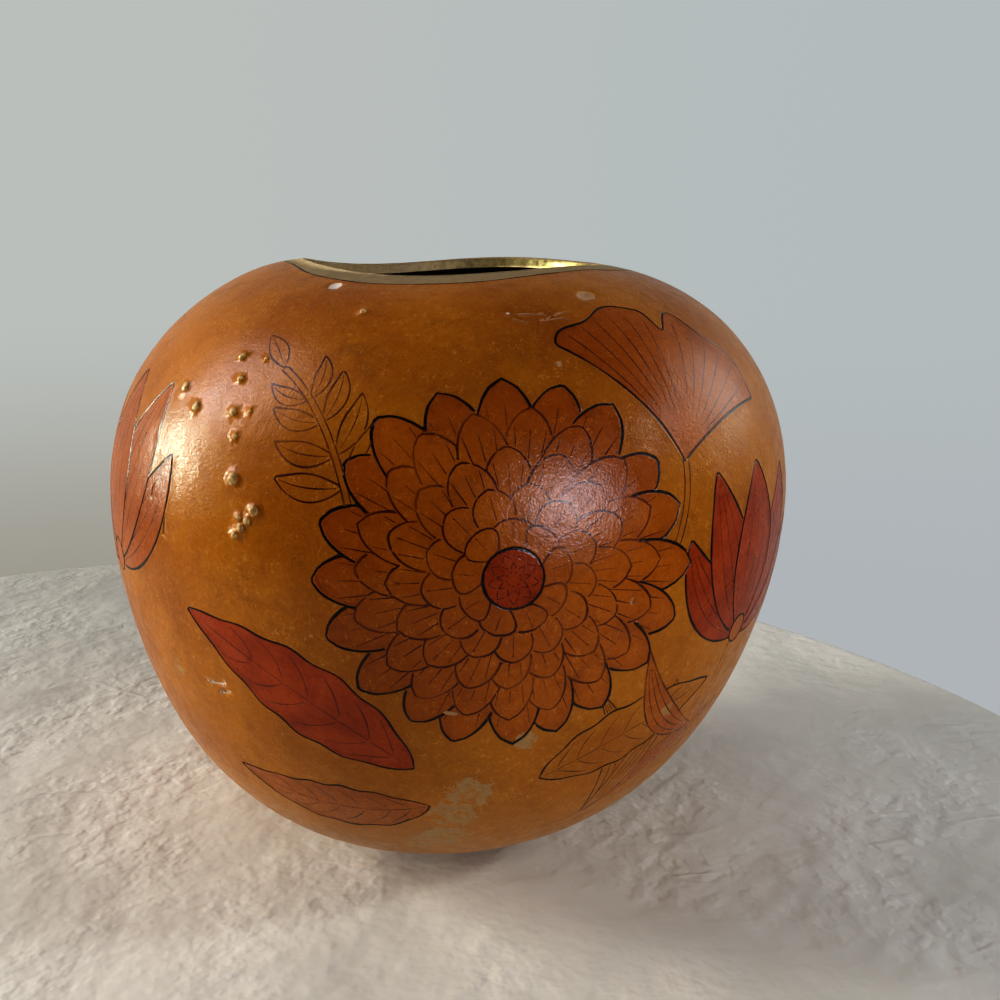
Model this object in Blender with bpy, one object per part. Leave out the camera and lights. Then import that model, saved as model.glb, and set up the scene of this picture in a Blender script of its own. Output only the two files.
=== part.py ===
"""A dried gourd made into a vessel: one hollow shell, grown as one piece, with its top cut away.

Metres, +Z up. The gourd stands on a small flat spot on its underside, at Z = 0, and the middle of
its bounding box is on the Z axis. Its front, the side with the main decoration, faces -Y.

The outer surface is a radius about the gourd's heart that changes with the angle down from the top
(a short cosine series) and leans a little to one side. The rim of the mouth rises and dips in low
waves, as the shoulder of the real fruit does.
"""

import math

import bmesh
import bpy
from mathutils import Vector

# The gourd's body
EQUATOR_RADIUS = 0.0950
HEART_HEIGHT = 0.0836
# How much the radius swells with the cosine of one, two, three and four times the angle
PROFILE_SWELLS = (0.0185, -0.0612, -0.0483, -0.0354)
# The same with sines, towards +X on one side and away from -X on the other: the gourd's lean
LEAN_SWELLS = (0.0130, -0.0059)
WALL = 0.0033

# The mouth, cut straight down through the shoulder
MOUTH_RADIUS = 0.0410
MOUTH_OFFSET = 0.0024
LIP_ROUNDING = 0.0009

# The waves of the shoulder round the mouth: lobes, height, and bearing of a crest in degrees
RIM_LIFT = 0.0009
RIM_WAVES = ((1, 0.00055, -36.0), (2, 0.00075, -80.0), (3, 0.00092, 39.0))
RIM_ANGLE = math.radians(27.5)
RIM_REACH = math.radians(13.8)

# Facets
COLUMNS = 72
OUTER_ROWS = 29
INNER_ROWS = 20

SHELL_COLOUR = (0.45, 0.13, 0.012, 1.0)


def rim_wave(bearing):
    """How far the shoulder stands above the plain form at this bearing."""
    height = RIM_LIFT
    for lobes, size, crest in RIM_WAVES:
        height += size * math.cos(lobes * (bearing - math.radians(crest)))
    return height


def relative_radius(bearing, angle):
    """The plain form's radius over its mean radius. The angle is measured down from +Z."""
    radius = 1.0
    for times, swell in enumerate(PROFILE_SWELLS, start=1):
        radius += swell * math.cos(times * angle)
    for times, swell in enumerate(LEAN_SWELLS, start=2):
        radius += swell * math.sin(times * angle) * math.sin(bearing)
    return radius


def widest_relative_radius():
    """The greatest distance from the axis, seen from the front, over the mean radius."""
    steps = 2000
    angles = (math.pi * step / steps for step in range(steps + 1))
    return max(relative_radius(0.0, angle) * math.sin(angle) for angle in angles)


MEAN_RADIUS = EQUATOR_RADIUS / widest_relative_radius()


def outer_point(bearing, angle):
    """A point of the outer surface. Bearing 0 is the front, -Y, and turns towards +X."""
    past_rim = max(0.0, angle - RIM_ANGLE) / RIM_REACH
    radius = MEAN_RADIUS * relative_radius(bearing, angle)
    radius += rim_wave(bearing) * math.exp(-past_rim * past_rim)
    level = radius * math.sin(angle)
    return Vector(
        (
            level * math.sin(bearing),
            -level * math.cos(bearing),
            HEART_HEIGHT + radius * math.cos(angle),
        )
    )


def inner_point(bearing, angle):
    """The point a wall's thickness below the outer surface, square to it."""
    step = 1e-4
    along = outer_point(bearing + step, angle) - outer_point(bearing - step, angle)
    down = outer_point(bearing, angle + step) - outer_point(bearing, angle - step)
    outward = down.cross(along).normalized()
    return outer_point(bearing, angle) - WALL * outward


def angle_where(reached, low, high):
    """The angle between low and high from which reached(angle) is true, by halving."""
    for _ in range(40):
        middle = (low + high) / 2
        if reached(middle):
            high = middle
        else:
            low = middle
    return (low + high) / 2


def mouth_reach(bearing, radius):
    """The distance from the Z axis to a circle of this radius about the mouth's own middle."""
    toward = MOUTH_OFFSET * math.sin(bearing)
    return toward + math.sqrt(radius**2 - MOUTH_OFFSET**2 + toward**2)


def angle_at_mouth(surface, bearing, radius):
    """The angle at which a surface meets the mouth's cut."""
    reach = mouth_reach(bearing, radius)
    return angle_where(
        lambda angle: surface(bearing, angle).xy.length > reach, 0.2, 1.2
    )


def angle_at_height(surface, bearing, height):
    """The angle at which a surface comes down to this height, low on the gourd."""
    return angle_where(lambda angle: surface(bearing, angle).z < height, 2.0, math.pi)


def rows(surface, bearing, first, last, count):
    """Points down a surface, from the angle first to the angle last."""
    step = (last - first) / (count - 1)
    return [surface(bearing, first + step * row) for row in range(count)]


def column(bearing):
    """Points down the outside, at one bearing, after those of the lip and the inside."""
    outer_top = angle_at_mouth(outer_point, bearing, MOUTH_RADIUS + LIP_ROUNDING)
    outer_foot = angle_at_height(outer_point, bearing, 0.0)
    inner_top = angle_at_mouth(inner_point, bearing, MOUTH_RADIUS + LIP_ROUNDING)
    inner_foot = angle_at_height(inner_point, bearing, WALL)
    outside = rows(outer_point, bearing, outer_top, outer_foot, OUTER_ROWS)
    inside = rows(inner_point, bearing, inner_foot, inner_top, INNER_ROWS)

    # The cut face of the lip, with a rounded upper and lower edge
    reach = mouth_reach(bearing, MOUTH_RADIUS)
    plan = Vector((reach * math.sin(bearing), -reach * math.cos(bearing)))
    upper = outside[0].z - 0.6 * LIP_ROUNDING
    lower = inside[-1].z + 0.6 * LIP_ROUNDING
    lip = [Vector((plan.x, plan.y, lower)), Vector((plan.x, plan.y, upper))]
    return inside + lip + outside


def gourd_mesh():
    """The shell as one closed mesh: columns all round, and a flat fan on each side of the base."""
    columns = [column(2 * math.pi * turn / COLUMNS) for turn in range(COLUMNS)]
    bm = bmesh.new()
    grid = [[bm.verts.new(point) for point in points] for points in columns]
    last = len(grid[0]) - 1
    inner_middle = bm.verts.new((0.0, 0.0, WALL))
    outer_middle = bm.verts.new((0.0, 0.0, 0.0))
    for turn, verts in enumerate(grid):
        beside = grid[(turn + 1) % COLUMNS]
        bm.faces.new((inner_middle, verts[0], beside[0]))
        bm.faces.new((outer_middle, beside[last], verts[last]))
        for row in range(last):
            corners = (verts[row], verts[row + 1], beside[row + 1], beside[row])
            bm.faces.new(corners)
    bmesh.ops.recalc_face_normals(bm, faces=bm.faces)
    centre_on_axis(bm)
    mesh = bpy.data.meshes.new("gourd_shell")
    bm.to_mesh(mesh)
    bm.free()
    return mesh


def centre_on_axis(bm):
    """Moves the middle of the bounding box to the Z axis, and the flat base to Z = 0 exactly."""
    xs = [vert.co.x for vert in bm.verts]
    ys = [vert.co.y for vert in bm.verts]
    shift = Vector((-(min(xs) + max(xs)) / 2, -(min(ys) + max(ys)) / 2, 0.0))
    for vert in bm.verts:
        vert.co += shift
        if abs(vert.co.z) < 1e-6:
            vert.co.z = 0.0


def shell_material():
    material = bpy.data.materials.new("lacquered_shell")
    material.use_nodes = True
    shader = material.node_tree.nodes["Principled BSDF"]
    shader.inputs["Base Color"].default_value = SHELL_COLOUR
    shader.inputs["Roughness"].default_value = 0.3
    shader.inputs["Metallic"].default_value = 0.0
    return material


def main():
    for old in list(bpy.data.objects):
        bpy.data.objects.remove(old, do_unlink=True)
    mesh = gourd_mesh()
    mesh.materials.append(shell_material())
    mesh.shade_smooth()
    mesh.set_sharp_from_angle(angle=math.radians(40.0))
    gourd = bpy.data.objects.new("gourd_shell", mesh)
    bpy.context.scene.collection.objects.link(gourd)


main()
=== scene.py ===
"""The looks of the painted gourd: an amber lacquered skin with cut and inked flowers and leaves.

The skin is one closed mesh. Its outside is triangulated on a flat map of the gourd, round the lines
of the drawing, so that each line has its own edges and each wider line is a real groove. The
drawing is made of shapes laid over each other on small flat sheets, and a shape hides the lines
under it.

The drawing is worked out in millimetres. A bearing goes round the gourd, 0 at the front (-Y) and
growing towards +X. An angle goes down from the top.
"""

import math
import random

import bpy
import numpy as np
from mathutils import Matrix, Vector, geometry, kdtree, noise


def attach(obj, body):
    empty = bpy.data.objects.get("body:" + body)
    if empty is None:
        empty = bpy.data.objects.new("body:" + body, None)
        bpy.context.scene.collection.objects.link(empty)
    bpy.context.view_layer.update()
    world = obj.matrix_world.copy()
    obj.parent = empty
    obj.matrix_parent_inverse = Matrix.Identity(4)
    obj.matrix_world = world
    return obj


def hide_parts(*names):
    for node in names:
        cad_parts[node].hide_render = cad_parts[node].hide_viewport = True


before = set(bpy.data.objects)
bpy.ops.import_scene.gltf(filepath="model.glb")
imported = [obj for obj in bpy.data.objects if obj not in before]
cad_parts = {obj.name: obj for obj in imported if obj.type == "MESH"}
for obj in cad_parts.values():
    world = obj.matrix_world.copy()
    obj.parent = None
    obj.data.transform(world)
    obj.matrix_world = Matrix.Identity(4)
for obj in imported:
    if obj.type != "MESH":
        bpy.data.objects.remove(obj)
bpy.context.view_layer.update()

MM = 0.001
TINY = 1e-9


def unit(vectors):
    """The same vectors at a length of one."""
    return vectors / np.maximum(np.linalg.norm(vectors, axis=-1, keepdims=True), TINY)


def as_points(x, y):
    return np.stack([x, y], axis=-1)


# The gourd's form, as in part.py
EQUATOR_RADIUS = 95.0
HEART_HEIGHT = 83.6
PROFILE_SWELLS = (0.0185, -0.0612, -0.0483, -0.0354)
LEAN_SWELLS = (0.0130, -0.0059)
WALL = 3.3
MOUTH_RADIUS = 41.0
MOUTH_OFFSET = 2.4
LIP_ROUNDING = 0.9
RIM_LIFT = 0.9
RIM_WAVES = ((1, 0.55, -36.0), (2, 0.75, -80.0), (3, 0.92, 39.0))
RIM_ANGLE = math.radians(27.5)
RIM_REACH = math.radians(13.8)
SHOULDER_ANGLES = (0.2, 1.2)

# The skin's mesh
GRID_STEP = 2.0
RIM_COLUMNS = 192
INNER_ROWS = 20
SKIN_INSET = 0.14
LUMP_HEIGHT = 0.13
LUMP_SIZES = (17.0, 6.0)

# The lines
GROOVE_DEPTH = 0.20
EDGE_RISE = 0.05
GUARD = 0.32
FINE_MARGIN = 0.10
LINE_STEP = 1.25
GROUND_CLEARANCE = 0.8
EDGE_CLEARANCE = 0.012
POOL_REACH = 2.2

# Drips and chips
DRIP_RINGS = ((1.04, 16), (0.92, 16), (0.66, 11), (0.34, 6))
DRIP_CLEARANCE = 0.7
CHIP_DEPTH = 0.12

# The gold band round the mouth
BAND_RADIUS = 48.8
BAND_WAVER = 2.1
BAND_LINE = 0.5


# The gourd's surfaces

def relative_radius(bearing, angle):
    radius = 1.0
    for times, swell in enumerate(PROFILE_SWELLS, start=1):
        radius = radius + swell * np.cos(times * angle)
    for times, swell in enumerate(LEAN_SWELLS, start=2):
        radius = radius + swell * np.sin(times * angle) * np.sin(bearing)
    return radius


def widest(bearing):
    angles = np.linspace(0.0, math.pi, 2001)
    return float(np.max(relative_radius(bearing, angles) * np.sin(angles)))


MEAN_RADIUS = EQUATOR_RADIUS / widest(0.0)
# The part is centred on its box, so its heart stands a little off the Z axis
HEART_X = -MEAN_RADIUS * (widest(math.pi / 2) - widest(-math.pi / 2)) / 2
HEART = np.array([HEART_X, 0.0, HEART_HEIGHT])


def outer_radius(bearing, angle):
    wave = RIM_LIFT
    for lobes, size, crest in RIM_WAVES:
        wave = wave + size * np.cos(lobes * (bearing - math.radians(crest)))
    past_rim = np.maximum(angle - RIM_ANGLE, 0.0) / RIM_REACH
    plain = MEAN_RADIUS * relative_radius(bearing, angle)
    return plain + wave * np.exp(-past_rim**2)


def direction(bearing, angle):
    level = np.sin(angle)
    parts = (level * np.sin(bearing), -level * np.cos(bearing), np.cos(angle) + 0 * bearing)
    return np.stack(parts, axis=-1)


def bearing_and_angle(directions):
    bearing = np.arctan2(directions[..., 0], -directions[..., 1])
    return bearing, np.arccos(np.clip(directions[..., 2], -1.0, 1.0))


def stopped_at(directions, radius, height):
    """The radius, cut short where the way out from the heart meets a level plane below it."""
    down = np.maximum(-directions[..., 2], TINY)
    return np.minimum(radius, (HEART_HEIGHT - height) / down)


def outer_points(directions, lift=0.0):
    radius = outer_radius(*bearing_and_angle(directions)) + lift
    radius = stopped_at(directions, radius, 0.0)
    return HEART + directions * radius[..., None]


def inner_points(bearing, angle):
    """Points a wall's thickness in from the outer surface, square to it, with a level floor."""
    step = 1e-4
    here = direction(bearing, angle)
    centre = here * outer_radius(bearing, angle)[..., None]
    turned, lower = bearing + step, angle + step
    along = direction(turned, angle) * outer_radius(turned, angle)[..., None] - centre
    down = direction(bearing, lower) * outer_radius(bearing, lower)[..., None] - centre
    inside = centre - WALL * unit(np.cross(down, along))
    radius = np.linalg.norm(inside, axis=-1)
    toward = inside / radius[..., None]
    return HEART + toward * stopped_at(toward, radius, WALL)[..., None]


def mouth_reach(bearing, radius):
    """The distance from the heart's axis to a circle about the mouth's own middle."""
    toward = MOUTH_OFFSET * np.sin(bearing)
    return toward + np.sqrt(radius**2 - MOUTH_OFFSET**2 + toward**2)


def angle_at_reach(bearing, reach, surface):
    """The angle on the shoulder at which a surface is this far from the heart's axis."""
    low, high = (np.full_like(bearing, end) for end in SHOULDER_ANGLES)
    for _ in range(30):
        middle = (low + high) / 2
        points = surface(bearing, middle)
        outside = np.hypot(points[..., 0] - HEART_X, points[..., 1]) > reach
        high = np.where(outside, middle, high)
        low = np.where(outside, low, middle)
    return (low + high) / 2


def outer_surface(bearing, angle):
    return outer_points(direction(bearing, angle))


def band_angle(bearing):
    """Where the gold band ends, a little unsteady as painted by hand."""
    waver = np.cos(3 * bearing + 0.75) + 0.14 * np.sin(7 * bearing) + 0.08 * np.sin(13 * bearing)
    reach = mouth_reach(bearing, BAND_RADIUS + BAND_WAVER * waver)
    return angle_at_reach(bearing, reach, outer_surface)


# A flat map of the whole outside that keeps angles: the base in the middle, the mouth outermost

def to_map(directions):
    return directions[..., :2] / (1.0 - directions[..., 2:])


def from_map(flat):
    square = np.sum(flat**2, axis=-1, keepdims=True)
    return np.concatenate([2.0 * flat, square - 1.0], axis=-1) / (square + 1.0)


# The drawing's sheets and shapes

class Sheet:
    """A flat sheet laid on the skin. Its x runs round the gourd, y up it, and then it is turned."""

    def __init__(self, bearing, angle, turn=0.0):
        bearing, angle, turn = (math.radians(value) for value in (bearing, angle, turn))
        self.middle = direction(np.float64(bearing), np.float64(angle))
        self.radius = float(outer_radius(bearing, angle))
        around = np.array([math.cos(bearing), math.sin(bearing), 0.0])
        upward = np.cross(self.middle, around)
        cosine, sine = math.cos(turn), math.sin(turn)
        self.x_way = cosine * around - sine * upward
        self.y_way = sine * around + cosine * upward

    def to_skin(self, flat):
        """Directions of points given in millimetres on the sheet."""
        reach = np.hypot(flat[:, 0], flat[:, 1])[:, None]
        side = flat[:, :1] * self.x_way + flat[:, 1:] * self.y_way
        side = side / np.maximum(reach, TINY)
        arc = reach / self.radius
        return np.cos(arc) * self.middle + np.sin(arc) * side

    def gap(self, directions):
        """How far directions are from the sheet's middle, in millimetres over the skin."""
        return np.arccos(np.clip(directions @ self.middle, -1.0, 1.0)) * self.radius

    def to_flat(self, directions):
        flat = as_points(directions @ self.x_way, directions @ self.y_way)
        length = np.maximum(np.linalg.norm(flat, axis=-1), TINY)
        return flat * (self.gap(directions) / length)[:, None]


class Shape:
    """A closed outline filled with a tint, and the lines drawn in it."""

    def __init__(self, sheet, outline, fill, line, ribs=(), rib_line=0.3):
        self.sheet = sheet
        self.outline = np.asarray(outline)
        self.fill = fill
        self.reach = float(np.max(np.hypot(*self.outline.T))) / sheet.radius
        closed = np.vstack([self.outline, self.outline[:1]])
        self.strokes = [(closed, line)] if line else []
        self.strokes += [(np.asarray(rib), rib_line) for rib in ribs]

    def holds(self, directions):
        """Which of the directions lie inside the outline."""
        inside = np.zeros(len(directions), bool)
        near = np.flatnonzero(directions @ self.sheet.middle > math.cos(self.reach + 0.01))
        if not len(near):
            return inside
        x, y = self.sheet.to_flat(directions[near]).T
        within = np.zeros(len(near), bool)
        for (x0, y0), (x1, y1) in zip(self.outline, np.roll(self.outline, -1, axis=0)):
            crosses = (y0 > y) != (y1 > y)
            rise = y1 - y0 if y1 != y0 else TINY
            within ^= crosses & (x < x0 + (y - y0) * (x1 - x0) / rise)
        inside[near] = within
        return inside


def turned(points, degrees, shift=(0.0, 0.0)):
    """Points turned clockwise from +y, then moved."""
    angle = math.radians(degrees)
    x, y = np.asarray(points).T
    cosine, sine = math.cos(angle), math.sin(angle)
    return as_points(x * cosine + y * sine + shift[0], y * cosine - x * sine + shift[1])


def polar(turn, radius):
    """Points this far out, at angles turned clockwise from +y."""
    return as_points(radius * np.sin(turn), radius * np.cos(turn))


def circle(radius, points=24):
    return polar(np.linspace(0.0, 2 * math.pi, points, endpoint=False), radius)


def arch(start, middle, end, points=26):
    """A curve from start to end, drawn towards the middle point."""
    t = np.linspace(0.0, 1.0, points)[:, None]
    start, middle, end = (np.array(point, float) for point in (start, middle, end))
    return (1 - t) ** 2 * start + 2 * t * (1 - t) * middle + t**2 * end


def beside(spine, offset):
    """A curve moved sideways, to its right, by an offset for each of its points."""
    way = unit(np.gradient(spine, axis=0))
    return spine + as_points(way[:, 1], -way[:, 0]) * np.asarray(offset)[:, None]


def pointed(spine, halves):
    """The outline of a form with a point at each end and these half widths along its spine."""
    return np.vstack([beside(spine, halves), beside(spine, -halves)[-2:0:-1]])


def leaf_halves(points, width, belly, tip):
    """Half the width of a leaf at each point of its spine."""
    along = np.linspace(0.0, 1.0, points)
    return width / 2 * np.sin(math.pi * along**belly) ** tip


def blade(sheet, spine, width, fill, line, belly=0.9, tip=1.0, veins=(0.0,)):
    """A leaf or a petal along a spine, with veins at fractions of its half width."""
    halves = leaf_halves(len(spine), width, belly, tip)
    first, last = int(0.12 * len(spine)), int(0.92 * len(spine))
    ribs = [beside(spine, vein * halves)[first:last] for vein in veins]
    return Shape(sheet, pointed(spine, halves), fill, line, ribs)


def petal(sheet, start, length, width, turn, fill, line, ribs):
    """A rounded petal that points away from the sheet's middle."""
    spine = as_points(np.zeros(20), np.linspace(start, length, 20))
    outline = pointed(spine, leaf_halves(20, width, 1.7, 0.6))
    lean = np.linspace(0.5, 1.0, 8)
    rows = np.linspace(start + 0.45 * (length - start), start + 0.84 * (length - start), 8)
    shares = [(rib - (ribs - 1) / 2) * 0.42 for rib in range(ribs)]
    lines = [turned(as_points(share * width / 2 * lean * 1.5, rows), turn) for share in shares]
    return Shape(sheet, turned(outline, turn), fill, line, lines, 0.28)


def seed_head(sheet, radius):
    """A small disc crossed by curves that wind both ways, as seeds grow."""
    curves = []
    along = np.linspace(0.22, 0.95, 9)
    for place in range(9):
        for hand in (1.0, -1.0):
            curves.append(polar(2 * math.pi * place / 9 + hand * 1.25 * along, radius * along))
    return Shape(sheet, circle(radius), "red", 0.6, curves, 0.26)


# Each ring of a round bloom: its share of the bloom's size, and how many petals it has
BLOOM_RINGS = ((1.00, 20), (0.81, 19), (0.63, 16), (0.455, 13), (0.30, 9))


def dahlia(bearing, angle, size, fill, seed):
    """A full round bloom: rings of petals, the outermost drawn first, round a seed head."""
    draw = random.Random(seed)
    sheet = Sheet(bearing, angle)
    shapes = []
    for ring, (share, count) in enumerate(BLOOM_RINGS):
        for place in range(count):
            length = size * share * draw.uniform(0.965, 1.035)
            width = 2 * math.pi * 0.8 * size * share / count * 1.17
            turn = (place + 0.5 * (ring % 2)) * 360.0 / count + draw.uniform(-2.0, 2.0)
            ribs = 3 if share > 0.5 else 1
            line = 0.62 if ring == 0 else 0.48
            shapes.append(petal(sheet, 0.12 * size, length, width, turn, fill, line, ribs))
    return [*shapes, seed_head(sheet, 0.155 * size)]


FAN_SPREAD = 52.0
FAN_RIBS = 13


def fan_leaf(bearing, angle, size, fill, turn):
    """A leaf like an open fan, with a waved edge, a notch and ribs from the stalk."""
    sheet = Sheet(bearing, angle, turn)
    way = np.linspace(-FAN_SPREAD, FAN_SPREAD, 72)
    wave = 1.0 + 0.028 * np.sin(np.radians(way) * 13) + 0.02 * np.cos(np.radians(way) * 7)
    notch = 0.20 * np.exp(-((way / 4.0) ** 2))
    radius = size * (wave - notch) * (1.0 - 0.10 * (way / FAN_SPREAD) ** 4)
    edge = polar(np.radians(way), radius)
    root = (0.0, 0.0)
    left = arch(root, 0.45 * edge[0] + (2.2, 3.0), edge[0], 14)
    right = arch(edge[-1], 0.45 * edge[-1] + (-2.2, 3.0), root, 14)
    outline = np.vstack([left[:-1], edge, right[1:-1]])
    lines = []
    for place in np.linspace(-0.86, 0.86, FAN_RIBS):
        if abs(place) < 0.05:
            continue
        way = math.radians(place * FAN_SPREAD)
        tip = size * 0.92 * np.array([math.sin(way), math.cos(way)])
        start = tip * 0.26 + (0.0, 0.04 * size)
        lines.append(arch(start, 0.55 * tip + (0.0, 0.03 * size), tip, 10))
    stalk = arch((0.0, -0.55 * size), (3.0, -0.25 * size), (0.0, 1.0), 16)
    return [stem(sheet, stalk, 1.7), Shape(sheet, outline, fill, 0.6, lines, 0.32)]


def stem(sheet, spine, width):
    halves = np.full(len(spine), width / 2)
    outline = np.vstack([beside(spine, halves), beside(spine, -halves)[::-1]])
    return Shape(sheet, outline, "plain", 0.36)


LEAF_VEINS = 6


def broad_leaf(bearing, angle, turn, length, width, fill, bend):
    """A pointed leaf with a waved edge, a middle rib and veins that run out to both sides."""
    sheet = Sheet(bearing, angle, turn)
    spine = arch((0.0, 0.0), (bend * length, 0.5 * length), (0.0, length), 48)
    along = np.linspace(0.0, 1.0, 48)
    wave = 1.0 + 0.05 * np.sin(2 * math.pi * (LEAF_VEINS - 0.5) * along)
    halves = leaf_halves(48, width, 0.82, 0.9) * wave
    ribs = [spine[1:44]]
    for vein in range(LEAF_VEINS):
        start = int(4 + vein * 34 / LEAF_VEINS)
        for side in (-1.0, 1.0):
            tip = beside(spine, side * 0.80 * halves)[start + 6]
            knee = beside(spine, side * 0.55 * halves)[start + 2]
            ribs.append(arch(spine[start], knee, tip, 9))
    return Shape(sheet, pointed(spine, halves), fill, 0.5, ribs)


# Each petal of a cup-shaped bloom: how it leans, its length and its width
CUP_PETALS = (
    (-46, 0.86, 0.30), (46, 0.86, 0.30), (-24, 1.0, 0.36), (24, 1.0, 0.36), (0, 0.95, 0.42),
)


def lily(bearing, angle, size, turn, fill="red"):
    """A bloom seen from the side: pointed petals from one cup, on a stem with a leaf."""
    sheet = Sheet(bearing, angle, turn)
    shapes = [stem(sheet, arch((0, 2), (-5, -0.5 * size), (4, -1.25 * size)), 2.2)]
    leaf = arch((-3.5, -0.62 * size), (-0.55 * size, -0.6 * size), (-0.78 * size, 0.02 * size))
    shapes.append(blade(sheet, leaf, 0.20 * size, "russet", 0.45, veins=(0.0, 0.5, -0.5)))
    for lean, length, width in CUP_PETALS:
        tip = turned([(0.0, size * length)], lean)[0]
        bend = turned([(0.0, size * 0.55)], lean * 1.5)[0]
        spine = arch((0.0, 0.0), bend, tip)
        shapes.append(blade(sheet, spine, size * width, fill, 0.6, 0.85, 0.85, (0.0, 0.42, -0.42)))
    shapes.append(Shape(sheet, turned(circle(0.085 * size), 0, (0, 0.02 * size)), "russet", 0.6))
    return shapes


def berry(sheet, at, radius):
    ring = circle(0.70 * radius)
    ring = np.vstack([ring, ring[:1]]) + at
    skin = Shape(sheet, circle(radius) + at, "red", 0.6, [ring], 0.28)
    return [skin, Shape(sheet, circle(0.33 * radius, 14) + at, "ink", 0.3)]


def berries(bearing, angle, turn):
    """Three berries on a forked twig."""
    sheet = Sheet(bearing, angle, turn)
    shapes = []
    for at, radius in (((-8.0, 13.0), 4.2), ((7.5, 15.5), 4.6), ((0.5, 22.5), 4.0)):
        shapes.append(stem(sheet, arch((0, -15), (at[0] * 0.1, 2.0), at), 1.2))
        shapes += berry(sheet, at, radius)
    return shapes


LEAF_PAIRS = 4


def spray(bearing, angle, turn, size, fill):
    """A twig with pairs of small leaves and one at its tip."""
    sheet = Sheet(bearing, angle, turn)
    spine = arch((0.0, -0.5 * size), (0.16 * size, 0.0), (0.0, 0.42 * size), 30)
    shapes = []
    for pair in range(LEAF_PAIRS):
        root = spine[int(4 + pair * 22 / LEAF_PAIRS)]
        for side in (-1, 1):
            length = size * (0.40 - 0.045 * pair)
            tip = turned([(0.0, length)], side * (52 - 5 * pair))[0]
            leaf = arch(root, root + 0.5 * tip + (side * 2.5, -1.5), root + tip)
            shapes.append(blade(sheet, leaf, 0.36 * length, fill, 0.45))
    top = arch(spine[-1], spine[-1] + (0.5, 0.15 * size), spine[-1] + (-1.0, 0.30 * size))
    return [*shapes, stem(sheet, spine, 1.5), blade(sheet, top, 0.11 * size, fill, 0.45)]


def long_leaves(bearing, angle, turn, size, fills):
    """A tuft of long pointed leaves that bend apart from one root, with veins along them."""
    sheet = Sheet(bearing, angle, turn)
    shapes = []
    for (bend, length), fill in zip(((-0.62, 0.80), (0.55, 0.88), (-0.15, 1.0)), fills):
        tip = (bend * size, length * size * 0.92)
        spine = arch((0.0, 0.0), (bend * 0.05 * size, 0.62 * size * length), tip, 40)
        shapes.append(blade(sheet, spine, 0.16 * size, fill, 0.45, 0.8, veins=(0.0, 0.45, -0.45)))
    return shapes


def drawing():
    """Every shape on the gourd, from the lowest to the one on top."""
    shapes = []
    # The front
    shapes += long_leaves(26.0, 126.0, 30.0, 50.0, ("plain", "russet", "plain"))
    shapes.append(broad_leaf(-4.0, 117.0, -92.0, 50.0, 17.0, "russet", -0.14))
    shapes.append(broad_leaf(-6.0, 108.0, -60.0, 64.0, 21.0, "red", 0.10))
    shapes.append(broad_leaf(14.0, 112.0, 74.0, 50.0, 19.0, "plain", -0.10))
    shapes += spray(-20.0, 60.0, -34.0, 42.0, "plain")
    shapes += fan_leaf(35.0, 66.0, 42.0, "russet", 18.0)
    shapes += lily(50.0, 94.0, 44.0, 6.0)
    shapes += dahlia(8.0, 78.0, 43.0, "russet", seed=3)
    # The right side and the back
    shapes += spray(84.0, 64.0, 24.0, 46.0, "plain")
    shapes += long_leaves(92.0, 120.0, 12.0, 62.0, ("red", "plain", "russet"))
    shapes += fan_leaf(118.0, 74.0, 40.0, "russet", -24.0)
    shapes += berries(142.0, 56.0, 12.0)
    shapes.append(broad_leaf(160.0, 112.0, -66.0, 52.0, 20.0, "red", 0.10))
    shapes.append(broad_leaf(190.0, 114.0, 62.0, 56.0, 20.0, "plain", -0.10))
    shapes += dahlia(176.0, 82.0, 41.0, "russet", seed=8)
    # The left side
    shapes += spray(216.0, 58.0, 20.0, 38.0, "plain")
    shapes += lily(228.0, 88.0, 44.0, -10.0)
    shapes += fan_leaf(262.0, 66.0, 38.0, "russet", 10.0)
    shapes += long_leaves(262.0, 122.0, -12.0, 58.0, ("plain", "red", "russet"))
    shapes += lily(297.0, 84.0, 50.0, -4.0, "russet")
    return shapes


# Marks of paint and wear: bearing, angle, then sizes

# Pale gold drips: radius and height
DRIPS = (
    (-37.0, 50.7, 1.0, 0.6), (-34.8, 54.0, 0.8, 0.5), (-31.6, 50.7, 0.5, 0.3),
    (-33.7, 58.6, 1.1, 0.5), (-30.5, 58.3, 0.4, 0.3), (-41.8, 58.6, 1.3, 0.6),
    (-32.0, 61.7, 0.7, 0.5), (-30.9, 67.0, 1.5, 0.8), (-29.3, 71.7, 0.7, 0.5),
    (-26.9, 70.6, 1.2, 0.7), (-27.9, 72.0, 0.9, 0.6), (-28.9, 73.0, 0.9, 0.6),
    (-29.9, 74.0, 0.8, 0.5), (-46.8, 56.3, 1.4, 0.6), (-17.2, 41.2, 0.8, 0.4),
    (128.0, 52.0, 1.2, 0.6), (131.0, 60.0, 0.8, 0.5), (205.0, 48.0, 1.0, 0.6),
)
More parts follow.
